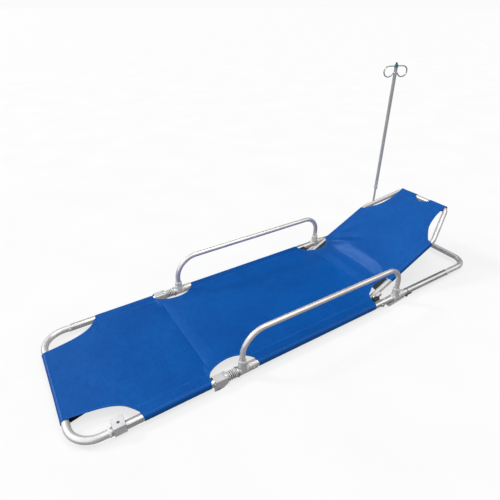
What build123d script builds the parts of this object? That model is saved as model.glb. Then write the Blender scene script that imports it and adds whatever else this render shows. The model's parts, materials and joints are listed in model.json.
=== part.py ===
from build123d import *
from math import cos, radians, sin
import os

# Folding stretcher with side rails, an adjustable backrest and a drip pole.
# Row frame: +X towards the head, +Y to the far side, +Z up, millimetres. The origin is on the
# floor under the middle of the stretcher. "near" is the -Y side and "far" is the +Y side.

# ---- driving dimensions -------------------------------------------------------------------
LENGTH = 1898.0          # over the foot sleeve and the head loop
HALF_W = 274.0           # stretcher centre to a side tube's centre
TUBE_Z = 25.0            # tube centres above the floor
END_R = 12.5             # bent end tubes, 25 mm
SIDE_R = 14.0            # straight side tubes, 28 mm
BACK_R = 11.0            # backrest tube, 22 mm
RAIL_R = 10.2            # side rail tube, 20 mm
WALL = 1.45              # tube wall
CLOTH = 1.0              # canvas
FIT = 0.06               # radial clearance of a part that turns or slides on another
GAP = 0.4                # axial gap between parts that move past each other

CLOTH_TOP = SIDE_R + CLOTH + 0.05      # canvas top face above the tube centres
SLEEVE_R = CLOTH_TOP
FOOT_END_X = -LENGTH / 2 + SLEEVE_R    # centre line of the foot cross tube
HEAD_END_X = LENGTH / 2 - END_R        # centre line of the head cross tube
CORNER_R = 84.0                        # bend of the end tubes

FOLD_DROP = 19.5                       # fold pins below the tube centres
PIN_R = 3.0
FOOT_FOLD_X = -462.0
HEAD_FOLD_X = 496.0
FOLD_SPLIT = 4.0                       # space between the tube ends at a fold

FOOT_RING_X = -824.0                   # white end rings, where a bent end tube enters
HEAD_RING_X = 771.0
RING_LENGTH = 7.0
TUBE_INSERT = 55.0                     # how far a bent end tube runs inside a side tube

BACK_PIVOT = (349.0, 16.0)             # backrest pivot, x and z
BACK_ANGLE = 26.0
BACK_HALF_W = 214.0                    # backrest tube centres
BACK_BEND_S = 396.0                    # where the backrest starts to taper
BACK_TOP_S = 587.0                     # top cross tube, along the backrest
BACK_TOP_HALF_W = 134.0

RAIL_FOOT_X = -358.0
RAIL_HEAD_X = 423.0
RAIL_RISE = 157.0                      # top bar above the side tube centre
RAIL_BENDS = (95.0, 76.0)              # its bends at the foot and head legs
FITTING_R = 17.0
FOOT_FITTING_LENGTH = 40.0
HEAD_FITTING_LENGTH = 46.0

FOOT_SOCKET_X = -797.0
HEAD_SOCKET_X = 832.0
SOCKET_Y = 270.0                       # drip pole holes from the stretcher centre
SOCKET_LENGTH = 39.0
SOCKET_TOP = 24.0                      # block top above the tube centre
SOCKET_SKIRT = 10.5                    # how far the block reaches below it
POLE_ROD_R = 5.0
POLE_R = 8.0

os.makedirs("parts", exist_ok=True)
SIDES = (("near", -1), ("far", 1))


def save(name, piece):
    """Label a finished piece and write its STEP file."""
    piece.part.label = name
    export_step(piece.part, f"parts/{name}.step")


def across_x(x, y=0.0, z=TUBE_Z):
    """A plane at x that faces +X, with its sketch axes along +Y and +Z."""
    return Plane(origin=(x, y, z), x_dir=(0, 1, 0), z_dir=(1, 0, 0))


def across_y(y, x=0.0, z=TUBE_Z):
    """A plane at y that faces -Y, with its sketch axes along +X and +Z."""
    return Plane(origin=(x, y, z), x_dir=(1, 0, 0), z_dir=(0, -1, 0))


def straight_tube(x_start, x_end, y, radius, bore_radius):
    """A round tube or ring along X at the side tubes' height."""
    with BuildPart() as tube:
        with BuildSketch(across_x(x_start, y)):
            Circle(radius)
            Circle(bore_radius, mode=Mode.SUBTRACT)
        extrude(amount=x_end - x_start)
    return tube


def bent_tube(points, radius, bend_radii, wall=WALL):
    """A round tube along straight runs joined by arcs."""
    with BuildPart() as tube:
        with BuildLine() as route:
            FilletPolyline(*points, radius=bend_radii)
        with BuildSketch(Plane(origin=route.wire() @ 0, z_dir=route.wire() % 0)):
            Circle(radius)
            Circle(radius - wall, mode=Mode.SUBTRACT)
        sweep(path=route.wire())
    return tube


# ---- mid frame: side tubes and what is fixed to them --------------------------------------
MID_START_X = FOOT_FOLD_X + FOLD_SPLIT
MID_END_X = HEAD_FOLD_X - FOLD_SPLIT
RATCHET_BOLT_X = 332.0
BOLT_R = 3.0

for side, sign in SIDES:
    with BuildPart() as side_tube:
        add(straight_tube(MID_START_X, MID_END_X, sign * HALF_W, SIDE_R, SIDE_R - WALL).part)
        # cross hole for the bolt that holds the ratchet plate
        with Locations((RATCHET_BOLT_X, sign * HALF_W, TUBE_Z)):
            Cylinder(BOLT_R + 0.02, 4 * SIDE_R, rotation=(90, 0, 0), mode=Mode.SUBTRACT)
    save(f"mid_side_tube_{side}", side_tube)

# Foot fold bracket: a channel over both tube ends, with cheeks that carry the fold pin.
# Its cheeks are the stretcher's lowest points, and it stands on them.
CHEEK_IN = SIDE_R + 0.5
CHEEK_OUT = 16.8
BRACKET_START = -478.0
BRACKET_HEEL = -446.0
BRACKET_NECK = -424.0
BRACKET_TOP = 17.0
NECK_LENGTH = 9.0

for side, sign in SIDES:
    with BuildPart() as bracket:
        with BuildSketch(across_y(sign * HALF_W + CHEEK_OUT)):
            with BuildLine():
                Polyline(
                    (BRACKET_START, -TUBE_Z),
                    (BRACKET_HEEL, -TUBE_Z),
                    (BRACKET_NECK, -12.0),
                    (BRACKET_NECK, 14.0),
                    (BRACKET_NECK - 14.0, BRACKET_TOP),
                    (BRACKET_START + 8.0, BRACKET_TOP),
                    (BRACKET_START, 8.0),
                    close=True,
                )
            make_face()
        extrude(amount=2 * CHEEK_OUT)
        chamfer(bracket.edges().group_by(Axis.Z)[-1].filter_by(Axis.X), 3.0)
        # the channel that the tubes lie in, open below
        with BuildSketch(across_x(BRACKET_START, sign * HALF_W)):
            with Locations((0, (CHEEK_IN - 40.0) / 2)):
                Rectangle(2 * CHEEK_IN, 40.0 + CHEEK_IN)
        extrude(amount=BRACKET_NECK - BRACKET_START, mode=Mode.SUBTRACT)
        # neck ring round the mid tube
        with BuildSketch(across_x(BRACKET_NECK - NECK_LENGTH, sign * HALF_W)):
            Circle(CHEEK_OUT)
            Circle(SIDE_R + 0.02, mode=Mode.SUBTRACT)
        extrude(amount=NECK_LENGTH)
        with Locations((FOOT_FOLD_X, sign * HALF_W, TUBE_Z - FOLD_DROP)):
            Cylinder(PIN_R + 0.02, 60, rotation=(90, 0, 0), mode=Mode.SUBTRACT)
    save(f"fold_bracket_{side}", bracket)

PIN_HEAD_R = 5.0


def cross_pins(x, z, half_length, radius, head_radius, head):
    """One headed pin across each side tube, as a pair of separate solids."""
    with BuildPart() as pins:
        for y in (-HALF_W, HALF_W):
            with BuildSketch(Plane(origin=(x, y - half_length, z), x_dir=(1, 0, 0), z_dir=(0, 1, 0))):
                Circle(radius)
            extrude(amount=2 * half_length)
            for end, way in ((y - half_length, -1), (y + half_length, 1)):
                with BuildSketch(Plane(origin=(x, end, z), x_dir=(1, 0, 0), z_dir=(0, way, 0))):
                    Circle(head_radius)
                extrude(amount=head)
    return pins


save("foot_fold_pins",
     cross_pins(FOOT_FOLD_X, TUBE_Z - FOLD_DROP, CHEEK_OUT, PIN_R, PIN_HEAD_R, 1.5))

# Springs and the sliding lock rings that they push against the foot rail fittings.
SPRING_START = BRACKET_NECK + 0.1
LOCK_RING_END = RAIL_FOOT_X - FOOT_FITTING_LENGTH / 2 - GAP
LOCK_RING_LENGTH = 7.0
SPRING_END = LOCK_RING_END - LOCK_RING_LENGTH - 0.3
SPRING_WIRE_R = 1.6
SPRING_R = 15.9
SPRING_TURNS = 4.5

for side, sign in SIDES:
    spring_length = SPRING_END - SPRING_START - 2 * SPRING_WIRE_R - 0.4
    with BuildPart() as spring:
        with BuildLine() as coil:
            Helix(pitch=spring_length / SPRING_TURNS, height=spring_length, radius=SPRING_R,
                  center=(SPRING_START + SPRING_WIRE_R + 0.2, sign * HALF_W, TUBE_Z),
                  direction=(1, 0, 0))
        with BuildSketch(Plane(origin=coil.wire() @ 0, z_dir=coil.wire() % 0)):
            Circle(SPRING_WIRE_R)
        sweep(path=coil.wire(), is_frenet=True)
    save(f"lock_spring_{side}", spring)

    with BuildPart() as lock_ring:
        with BuildSketch(across_x(LOCK_RING_END - LOCK_RING_LENGTH, sign * HALF_W)):
            Circle(19.0)
            Circle(SIDE_R + FIT, mode=Mode.SUBTRACT)
        extrude(amount=LOCK_RING_LENGTH)
        chamfer(lock_ring.edges().filter_by(GeomType.CIRCLE).sort_by(SortBy.RADIUS)[-2:], 1.2)
    save(f"lock_ring_{side}", lock_ring)

# Stop collars on the head side of each rail fitting, each held by a rivet.
COLLAR_LENGTH = 35.0
HEAD_COLLAR_LENGTH = 27.0
COLLAR_STARTS = {
    "foot": (RAIL_FOOT_X + FOOT_FITTING_LENGTH / 2 + GAP, COLLAR_LENGTH),
    "head": (RAIL_HEAD_X + HEAD_FITTING_LENGTH / 2 + GAP, HEAD_COLLAR_LENGTH),
}
COLLAR_R = 16.6
RIVET_R = 2.4

for end, (start, length) in COLLAR_STARTS.items():
    for side, sign in SIDES:
        with BuildPart() as collar:
            with BuildSketch(across_x(start, sign * HALF_W)):
                Circle(COLLAR_R)
                Circle(SIDE_R + 0.02, mode=Mode.SUBTRACT)
            extrude(amount=length)
            chamfer(collar.edges().filter_by(GeomType.CIRCLE).sort_by(SortBy.RADIUS)[-2:], 1.0)
        save(f"{end}_collar_{side}", collar)

with BuildPart() as collar_rivets:
    for start, length in COLLAR_STARTS.values():
        for side, sign in SIDES:
            outward = Plane(origin=(start + length / 2, sign * (HALF_W + COLLAR_R - 0.6), TUBE_Z),
                            z_dir=(0, sign, 0))
            with BuildSketch(outward):
                Circle(RIVET_R + 1.4)
            extrude(amount=2.2, taper=25)
    for sign in (-1, 1):
        with BuildSketch(across_x(RAIL_FOOT_X, sign * HALF_W)):
            Circle(COLLAR_R + 0.01)
        extrude(amount=LENGTH / 2, mode=Mode.SUBTRACT)
save("collar_rivets", collar_rivets)

# Head hinge: a leaf under each tube end with interleaved knuckles.
LEAF_HALF_W = 11.0
LEAF_LENGTH = 30.0
LEAF_T = 2.6
KNUCKLE_R = TUBE_Z - FOLD_DROP
KNUCKLE_HALF = 4.0
MID_LEAF_START = COLLAR_STARTS["head"][0] + HEAD_COLLAR_LENGTH + 0.5


def hinge_leaf(y, x_far, knuckles):
    """A leaf strip from x_far to the head fold axis, with knuckles at the given y spans."""
    towards = 1 if x_far > HEAD_FOLD_X else -1
    low, high = -SIDE_R - LEAF_T + 0.3, -SIDE_R + 3.0
    near_x = HEAD_FOLD_X + towards * 0.5
    with BuildPart() as leaf:
        with BuildSketch(across_x(min(near_x, x_far), y)):
            with Locations((0, (low + high) / 2)):
                Rectangle(2 * LEAF_HALF_W, high - low)
        extrude(amount=abs(x_far - near_x))
        # the strip is cut to the tube, and back from the other leaf's knuckles
        with BuildSketch(across_x(min(near_x, x_far) - 1, y)):
            Circle(SIDE_R)
        extrude(amount=abs(x_far - near_x) + 2, mode=Mode.SUBTRACT)
        with BuildSketch(across_y(y + 30, HEAD_FOLD_X, TUBE_Z - FOLD_DROP)):
            Circle(KNUCKLE_R + 0.5)
        extrude(amount=60, mode=Mode.SUBTRACT)
        for y_start, y_end in knuckles:
            with BuildSketch(across_y(y + y_end, HEAD_FOLD_X, TUBE_Z - FOLD_DROP)):
                Circle(KNUCKLE_R)
                with Locations((towards * (KNUCKLE_R + 1.0) / 2, KNUCKLE_R - LEAF_T / 2 - 0.6)):
                    Rectangle(KNUCKLE_R + 1.0, LEAF_T)
            extrude(amount=y_end - y_start)
        with Locations((HEAD_FOLD_X, y, TUBE_Z - FOLD_DROP)):
            Cylinder((PIN_R - 0.5) + (FIT if towards > 0 else 0.02), 60, rotation=(90, 0, 0),
                     mode=Mode.SUBTRACT)
    return leaf


for side, sign in SIDES:
    save(f"head_hinge_leaf_{side}",
         hinge_leaf(sign * HALF_W, MID_LEAF_START, [(-KNUCKLE_HALF, KNUCKLE_HALF)]))
    save(f"loop_hinge_leaf_{side}",
         hinge_leaf(sign * HALF_W, HEAD_FOLD_X + LEAF_LENGTH,
                    [(-LEAF_HALF_W, -KNUCKLE_HALF - GAP), (KNUCKLE_HALF + GAP, LEAF_HALF_W)]))

with BuildPart() as head_fold_pins:
    for side, sign in SIDES:
        with Locations((HEAD_FOLD_X, sign * HALF_W, TUBE_Z - FOLD_DROP)):
            Cylinder(PIN_R - 0.5, 2 * LEAF_HALF_W, rotation=(90, 0, 0))
save("head_fold_pins", head_fold_pins)

# Ratchet plates: a bracket bolted inside each side tube that carries the backrest pivot.
RATCHET_R = 15.5
PLATE_OUT = SIDE_R + 2.0       # from the side tube's centre, where the flat bracket starts
PLATE_IN = 37.0                # its inner face
DISC_T = 6.0
PIVOT_PIN_R = 4.0
BRACKET_HALF_H = 9.0

for side, sign in SIDES:
    inner = sign * (HALF_W - PLATE_IN)
    with BuildPart() as plate:
        # foot block that sits on the tube
        with BuildSketch(across_x(RATCHET_BOLT_X - 11, sign * HALF_W)):
            with Locations((-sign * PLATE_IN / 2, 0)):
                Rectangle(PLATE_IN, 2 * BRACKET_HALF_H)
            Circle(SIDE_R + 0.02, mode=Mode.SUBTRACT)
        extrude(amount=22)
        with BuildSketch(across_y(max(inner, inner + sign * DISC_T), BACK_PIVOT[0], BACK_PIVOT[1])):
            Circle(RATCHET_R)
        extrude(amount=DISC_T)
        with Locations((BACK_PIVOT[0], sign * HALF_W, BACK_PIVOT[1])):
            Cylinder(PIVOT_PIN_R + 0.02, 120, rotation=(90, 0, 0), mode=Mode.SUBTRACT)
        with Locations((RATCHET_BOLT_X, sign * HALF_W, TUBE_Z)):
            Cylinder(BOLT_R + 0.02, 120, rotation=(90, 0, 0), mode=Mode.SUBTRACT)
    save(f"ratchet_plate_{side}", plate)

BOLT_HEAD_Y = 293.5            # outer face of the bolt heads, the stretcher's widest point
with BuildPart() as ratchet_bolts:
    for side, sign in SIDES:
        inward = Plane(origin=(RATCHET_BOLT_X, sign * BOLT_HEAD_Y, TUBE_Z), z_dir=(0, -sign, 0))
        with BuildSketch(inward):
            RegularPolygon(radius=6.6, side_count=6)
        extrude(amount=BOLT_HEAD_Y - HALF_W - SIDE_R - 1.3)
        with BuildSketch(inward.offset(BOLT_HEAD_Y - HALF_W - SIDE_R - 1.3)):
            Circle(7.6)
        extrude(amount=1.2)
        with BuildSketch(inward.offset(3.0)):
            Circle(BOLT_R)
        extrude(amount=BOLT_HEAD_Y - (HALF_W - PLATE_IN + 1.0) - 3.0)
save("ratchet_bolts", ratchet_bolts)

DISC_GAP_Y = HALF_W - PLATE_IN - GAP          # outer face of the moving ratchet discs
STRAP_WRAP = 1.5               # how far a disc's strap reaches round the backrest tube
MOVING_DISC_T = DISC_GAP_Y - (BACK_HALF_W + BACK_R) + STRAP_WRAP
with BuildPart() as pivot_pins:
    for side, sign in SIDES:
        outer = Plane(origin=(BACK_PIVOT[0], sign * (HALF_W - PLATE_IN + DISC_T), BACK_PIVOT[1]),
                      z_dir=(0, -sign, 0))
        with BuildSketch(outer):
            Circle(PIVOT_PIN_R)
        extrude(amount=DISC_T + MOVING_DISC_T - STRAP_WRAP)
        with BuildSketch(Plane(origin=outer.origin, z_dir=(0, sign, 0))):
            Circle(PIVOT_PIN_R + 1.8)
        extrude(amount=3.0)
save("backrest_pivot_pins", pivot_pins)

# ---- foot section ---------------------------------------------------------------------------
with BuildPart() as foot_tube:
    # the near leg stops short of the pole socket's hole
    near_leg_end = FOOT_SOCKET_X - POLE_ROD_R - 4.0
    far_leg_end = FOOT_RING_X + TUBE_INSERT
    add(bent_tube([(near_leg_end, -HALF_W, TUBE_Z), (FOOT_END_X, -HALF_W, TUBE_Z),
                   (FOOT_END_X, HALF_W, TUBE_Z), (far_leg_end, HALF_W, TUBE_Z)],
                  END_R, CORNER_R).part)
save("foot_end_tube", foot_tube)

for side, sign in SIDES:
    with BuildPart() as foot_side_tube:
        add(straight_tube(FOOT_RING_X, FOOT_FOLD_X, sign * HALF_W, SIDE_R, END_R + 0.04).part)
        if side == "near":
            # the pole socket's hole runs on down through this tube
            with Locations((FOOT_SOCKET_X, sign * SOCKET_Y, TUBE_Z)):
                Cylinder(POLE_ROD_R + 0.4, 60, mode=Mode.SUBTRACT)
    save(f"foot_side_tube_{side}", foot_side_tube)

    LUG_HALF_W = CHEEK_IN - GAP
    with BuildPart() as lug:
        with BuildSketch(across_y(sign * HALF_W + LUG_HALF_W, FOOT_FOLD_X, TUBE_Z - FOLD_DROP)):
            Circle(TUBE_Z - FOLD_DROP - 0.3)
            with Locations((-6.5, 4.5)):
                Rectangle(13.0, 9.0)
        extrude(amount=2 * LUG_HALF_W)
        with BuildSketch(across_x(FOOT_FOLD_X - 20, sign * HALF_W)):
            Circle(SIDE_R + 0.01)
        extrude(amount=60, mode=Mode.SUBTRACT)
        with Locations((FOOT_FOLD_X, sign * HALF_W, TUBE_Z - FOLD_DROP)):
            Cylinder(PIN_R + FIT, 60, rotation=(90, 0, 0), mode=Mode.SUBTRACT)
    save(f"foot_fold_lug_{side}", lug)


def end_rings(ring_x, towards_end):
    """The two white rings that cap the side tubes where the bent end tube enters them."""
    with BuildPart() as rings:
        for y in (-HALF_W, HALF_W):
            with BuildSketch(across_x(min(ring_x, ring_x + towards_end * RING_LENGTH), y)):
                Circle(SIDE_R + 0.9)
                Circle(END_R + 0.04, mode=Mode.SUBTRACT)
            extrude(amount=RING_LENGTH)
        chamfer(rings.edges().filter_by(GeomType.CIRCLE).group_by(SortBy.RADIUS)[-1], 1.0)
    return rings


save("foot_end_rings", end_rings(FOOT_RING_X, -1))


def pole_socket(x, sign, tube_radius):
    """A saddle block over a tube, with a vertical hole for the drip pole."""
    outer_y, inner_y = sign * 290.0, sign * 246.0
    with BuildPart() as block:
        with BuildSketch(Plane(origin=(x - SOCKET_LENGTH / 2, 0, TUBE_Z), x_dir=(0, 1, 0),
                               z_dir=(1, 0, 0))):
            with Locations(((outer_y + inner_y) / 2, (SOCKET_TOP - SOCKET_SKIRT) / 2)):
                Rectangle(abs(outer_y - inner_y), SOCKET_TOP + SOCKET_SKIRT)
        extrude(amount=SOCKET_LENGTH)
        fillet(block.edges().filter_by(Axis.Z), 2.5)
        chamfer(block.faces().sort_by(Axis.Z)[-1].edges(), 1.2)
        with BuildSketch(across_x(x - SOCKET_LENGTH, sign * HALF_W)):
            Circle(tube_radius + 0.02)
        extrude(amount=2 * SOCKET_LENGTH, mode=Mode.SUBTRACT)
        with Locations((x, sign * SOCKET_Y, TUBE_Z)):
            Cylinder(POLE_ROD_R + FIT, 80, mode=Mode.SUBTRACT)
    return block


save("foot_pole_socket", pole_socket(FOOT_SOCKET_X, -1, SIDE_R))

# ---- head loop ------------------------------------------------------------------------------
with BuildPart() as head_tube:
    leg_end = HEAD_RING_X - TUBE_INSERT
    add(bent_tube([(leg_end, -HALF_W, TUBE_Z), (HEAD_END_X, -HALF_W, TUBE_Z),
                   (HEAD_END_X, HALF_W, TUBE_Z), (leg_end, HALF_W, TUBE_Z)],
                  END_R, CORNER_R - 16).part)
    # only the upper wall is drilled, so the drip pole stands on the lower one
    with Locations((HEAD_SOCKET_X, SOCKET_Y, TUBE_Z)):
        Cylinder(POLE_ROD_R + 0.4, 30, align=(Align.CENTER, Align.CENTER, Align.MIN),
                 mode=Mode.SUBTRACT)
save("head_end_tube", head_tube)

for side, sign in SIDES:
    save(f"head_side_tube_{side}",
         straight_tube(HEAD_FOLD_X, HEAD_RING_X, sign * HALF_W, SIDE_R, END_R + 0.04))

save("head_end_rings", end_rings(HEAD_RING_X, 1))
save("head_pole_socket", pole_socket(HEAD_SOCKET_X, 1, END_R))

# ---- backrest -------------------------------------------------------------------------------
back_dir = (cos(radians(BACK_ANGLE)), 0, sin(radians(BACK_ANGLE)))
back_up = (-sin(radians(BACK_ANGLE)), 0, cos(radians(BACK_ANGLE)))
# s runs up the backrest from the pivot along this plane's x axis
back_plane = Plane(origin=(BACK_PIVOT[0], 0, BACK_PIVOT[1]), x_dir=back_dir, z_dir=back_up)
BACK_START_S = -12.0
BACK_SHOULDER_R = 70.0
BACK_TOP_R = 34.0

with BuildPart() as backrest_tube:
    with BuildLine(back_plane) as back_route:
        FilletPolyline((BACK_START_S, -BACK_HALF_W), (BACK_BEND_S, -BACK_HALF_W),
                       (BACK_TOP_S, -BACK_TOP_HALF_W), (BACK_TOP_S, BACK_TOP_HALF_W),
                       (BACK_BEND_S, BACK_HALF_W), (BACK_START_S, BACK_HALF_W),
                       radius=(BACK_SHOULDER_R, BACK_TOP_R, BACK_TOP_R, BACK_SHOULDER_R))
    with BuildSketch(Plane(origin=back_route.wire() @ 0, z_dir=back_route.wire() % 0)):
        Circle(BACK_R)
        Circle(BACK_R - WALL, mode=Mode.SUBTRACT)
    sweep(path=back_route.wire())
save("backrest_tube", backrest_tube)

STRAP_LENGTH = 34.0
STRAP_HALF_H = 7.5
for side, sign in SIDES:
    face = sign * DISC_GAP_Y
    with BuildPart() as disc:
        with BuildSketch(Plane(origin=(BACK_PIVOT[0], face, BACK_PIVOT[1]), x_dir=back_dir,
                               z_dir=(0, -sign, 0))):
            Circle(RATCHET_R - 1.5)
            with Locations((STRAP_LENGTH / 2, 0)):
                Rectangle(STRAP_LENGTH, 2 * STRAP_HALF_H)
        extrude(amount=MOVING_DISC_T)
        # the strap is hollowed to lie on the tube
        with BuildSketch(Plane(origin=back_plane.from_local_coords((BACK_START_S - 5, sign * BACK_HALF_W, 0)),
                               z_dir=back_dir)):
            Circle(BACK_R + 0.01)
        extrude(amount=STRAP_LENGTH + 30, mode=Mode.SUBTRACT)
        with Locations((BACK_PIVOT[0], sign * HALF_W, BACK_PIVOT[1])):
            Cylinder(PIVOT_PIN_R + FIT, 160, rotation=(90, 0, 0), mode=Mode.SUBTRACT)
    save(f"ratchet_disc_{side}", disc)

# ---- side rails -----------------------------------------------------------------------------
RAIL_SOCKET_R = 13.8          # the socket's rim; it flares down to the barrel
SOCKET_BASE_R = 17.4
SOCKET_BASE = 8.0
RAIL_SOCKET_TOP = 45.0
RAIL_LEG_FOOT = 18.5          # where a rail leg ends, above the side tube's centre
SCREW_RISE = 36.0             # the screws that hold the rail's legs
HEEL_START = 375.0
HEEL_END = 468.0


def rail_socket(x, y, oversize=0.0):
    """The cone of a fitting's socket, between the barrel and the rim."""
    with BuildPart() as cone:
        with Locations((x, y, TUBE_Z + SOCKET_BASE)):
            Cone(SOCKET_BASE_R + oversize, RAIL_SOCKET_R + oversize, RAIL_SOCKET_TOP - SOCKET_BASE,
                 align=(Align.CENTER, Align.CENTER, Align.MIN))
    return cone.part


def rail_fitting(x, sign, length):
    """A barrel that turns on the side tube, with an upright socket for the rail's leg."""
    with BuildPart() as fitting:
        with BuildSketch(across_x(x - length / 2, sign * HALF_W)):
            Circle(FITTING_R)
        extrude(amount=length)
        chamfer(fitting.edges().filter_by(GeomType.CIRCLE), 1.2)
        add(rail_socket(x, sign * HALF_W))
        chamfer(fitting.faces().sort_by(Axis.Z)[-1].edges(), 1.0)
        with BuildSketch(across_x(x - length, sign * HALF_W)):
            Circle(SIDE_R + FIT)
        extrude(amount=2 * length, mode=Mode.SUBTRACT)
        with BuildSketch(Plane.XY.offset(TUBE_Z + RAIL_LEG_FOOT - 0.5)):
            with Locations((x, sign * HALF_W)):
                Circle(RAIL_R + 0.02)
        extrude(amount=60, mode=Mode.SUBTRACT)
    return fitting


for side, sign in SIDES:
    save(f"rail_foot_fitting_{side}", rail_fitting(RAIL_FOOT_X, sign, FOOT_FITTING_LENGTH))

    with BuildPart() as head_fitting:
        add(rail_fitting(RAIL_HEAD_X, sign, HEAD_FITTING_LENGTH).part)
        # the long heel low on the outside, which keeps the rail's legs in line
        with BuildSketch(across_y(sign * HALF_W + max(0, sign) * FITTING_R)):
            with BuildLine():
                Polyline((HEEL_START, -24.4), (HEEL_START + 24, -22.0), (HEEL_END, -12.0),
                         (HEEL_END, -4.0), (HEEL_START, -8.0), close=True)
            make_face()
        extrude(amount=FITTING_R)
        barrel_half = HEAD_FITTING_LENGTH / 2
        for start, end in ((HEEL_START - 2, RAIL_HEAD_X - barrel_half),
                           (RAIL_HEAD_X + barrel_half, HEEL_END + 2)):
            with BuildSketch(across_x(start, sign * HALF_W)):
                Circle(COLLAR_R + GAP)
            extrude(amount=end - start, mode=Mode.SUBTRACT)
        with BuildSketch(across_x(HEEL_START - 5, sign * HALF_W)):
            Circle(SIDE_R + FIT)
        extrude(amount=HEEL_END - HEEL_START + 10, mode=Mode.SUBTRACT)
    save(f"rail_head_fitting_{side}", head_fitting)

    rail_y = sign * HALF_W
    leg_z = TUBE_Z + RAIL_LEG_FOOT
    bar_z = TUBE_Z + RAIL_RISE
    save(f"rail_tube_{side}",
         bent_tube([(RAIL_FOOT_X, rail_y, leg_z), (RAIL_FOOT_X, rail_y, bar_z),
                    (RAIL_HEAD_X, rail_y, bar_z), (RAIL_HEAD_X, rail_y, leg_z)],
                   RAIL_R, RAIL_BENDS))

    with BuildPart() as rail_rivets:
        for x in (RAIL_FOOT_X, RAIL_HEAD_X):
            outward = Plane(origin=(x, rail_y + sign * RAIL_SOCKET_R, TUBE_Z + SCREW_RISE),
                            z_dir=(0, sign, 0))
            with BuildSketch(outward):
                Circle(RIVET_R + 1.0)
            extrude(amount=2.6, taper=20)
        for x in (RAIL_FOOT_X, RAIL_HEAD_X):
            add(rail_socket(x, rail_y, 0.01), mode=Mode.SUBTRACT)
    save(f"rail_rivets_{side}", rail_rivets)

# ---- drip pole ------------------------------------------------------------------------------
# the rod's outer edge stands on the curve of the loop tube's inner wall
ROD_EDGE = HALF_W - SOCKET_Y + POLE_ROD_R
ROD_BOTTOM = TUBE_Z - ((END_R - WALL) ** 2 - ROD_EDGE ** 2) ** 0.5 + GAP
ROD_TOP = 640.0
POLE_BOTTOM = 252.0
POLE_TOP = 862.0
POLE_WALL = 1.2
ROD_WALL = 1.6
STOP_RING_H = 6.0
BUSH_H = 26.0
FLANGE_H = 7.0
SOCKET_TOP_Z = TUBE_Z + SOCKET_TOP

with BuildPart() as pole_rod:
    with BuildSketch(Plane.XY.offset(ROD_BOTTOM)):
        with Locations((HEAD_SOCKET_X, SOCKET_Y)):
            Circle(POLE_ROD_R)
            Circle(POLE_ROD_R - ROD_WALL, mode=Mode.SUBTRACT)
    extrude(amount=ROD_TOP - ROD_BOTTOM)
save("pole_rod", pole_rod)


def pole_ring(z_start, height, radius, bore_radius):
    """A ring round the drip pole's axis."""
    with BuildPart() as ring:
        with BuildSketch(Plane.XY.offset(z_start)):
            with Locations((HEAD_SOCKET_X, SOCKET_Y)):
                Circle(radius)
                Circle(bore_radius, mode=Mode.SUBTRACT)
        extrude(amount=height)
    return ring


save("pole_stop_ring", pole_ring(SOCKET_TOP_Z + GAP, STOP_RING_H, 8.0, POLE_ROD_R + 0.02))
save("pole_tube", pole_ring(POLE_BOTTOM, POLE_TOP - POLE_BOTTOM, POLE_R, POLE_R - POLE_WALL))

# nylon guide pressed on the rod's top end, which runs in the upper tube
with BuildPart() as rod_guide:
    with BuildSketch(Plane.XY.offset(ROD_TOP + 0.02)):
        with Locations((HEAD_SOCKET_X, SOCKET_Y)):
            Circle(POLE_R - POLE_WALL - FIT)
    extrude(amount=8.0)
    with BuildSketch(Plane.XY.offset(ROD_TOP + 0.02)):
        with Locations((HEAD_SOCKET_X, SOCKET_Y)):
            Circle(POLE_ROD_R - ROD_WALL - 0.02)
    extrude(amount=-14.0)
save("rod_guide", rod_guide)

with BuildPart() as pole_bush:
    add(pole_ring(POLE_BOTTOM - FLANGE_H, FLANGE_H - 0.02, POLE_R + 1.6, POLE_ROD_R + FIT).part)
    add(pole_ring(POLE_BOTTOM - FLANGE_H, BUSH_H, POLE_R - POLE_WALL - 0.02, POLE_ROD_R + FIT).part)
    chamfer(pole_bush.faces().sort_by(Axis.Z)[0].edges().sort_by(SortBy.RADIUS)[-1], 1.5)
save("pole_bush", pole_bush)

CAP_H = 13.0
CAP_R = 8.8
BALL_R = 5.0
HOOK_WIRE_R = 3.0
HOOK_RING_R = 24.0
HOOK_OUT = 34.0
HOOK_TURN = -21.5              # the hooks' plane, turned about the pole from the XZ plane
HOOK_Z = POLE_TOP + CAP_H / 2

with BuildPart() as pole_cap:
    with BuildSketch(Plane.XY.offset(POLE_TOP + 0.02)):
        with Locations((HEAD_SOCKET_X, SOCKET_Y)):
            Circle(CAP_R)
    extrude(amount=CAP_H)
    chamfer(pole_cap.edges().filter_by(GeomType.CIRCLE).sort_by(Axis.Z)[-1], 1.5)
    with BuildSketch(Plane.XY.offset(POLE_TOP + 0.02)):
        with Locations((HEAD_SOCKET_X, SOCKET_Y)):
            Circle(POLE_R - POLE_WALL - 0.02)
    extrude(amount=-18.0)
    # the hooks' shanks sit in this cross hole
    along_hooks = (cos(radians(HOOK_TURN)), sin(radians(HOOK_TURN)), 0)
    with BuildSketch(Plane(origin=(HEAD_SOCKET_X, SOCKET_Y, HOOK_Z), z_dir=along_hooks)):
        Circle(HOOK_WIRE_R + 0.02)
    extrude(amount=20, both=True, mode=Mode.SUBTRACT)
save("pole_cap", pole_cap)

with BuildPart() as pole_ball:
    with Locations((HEAD_SOCKET_X, SOCKET_Y, POLE_TOP + CAP_H + BALL_R - 0.6)):
        Sphere(BALL_R)
    split(bisect_by=Plane.XY.offset(POLE_TOP + CAP_H + 0.05))
save("pole_ball", pole_ball)

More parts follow.
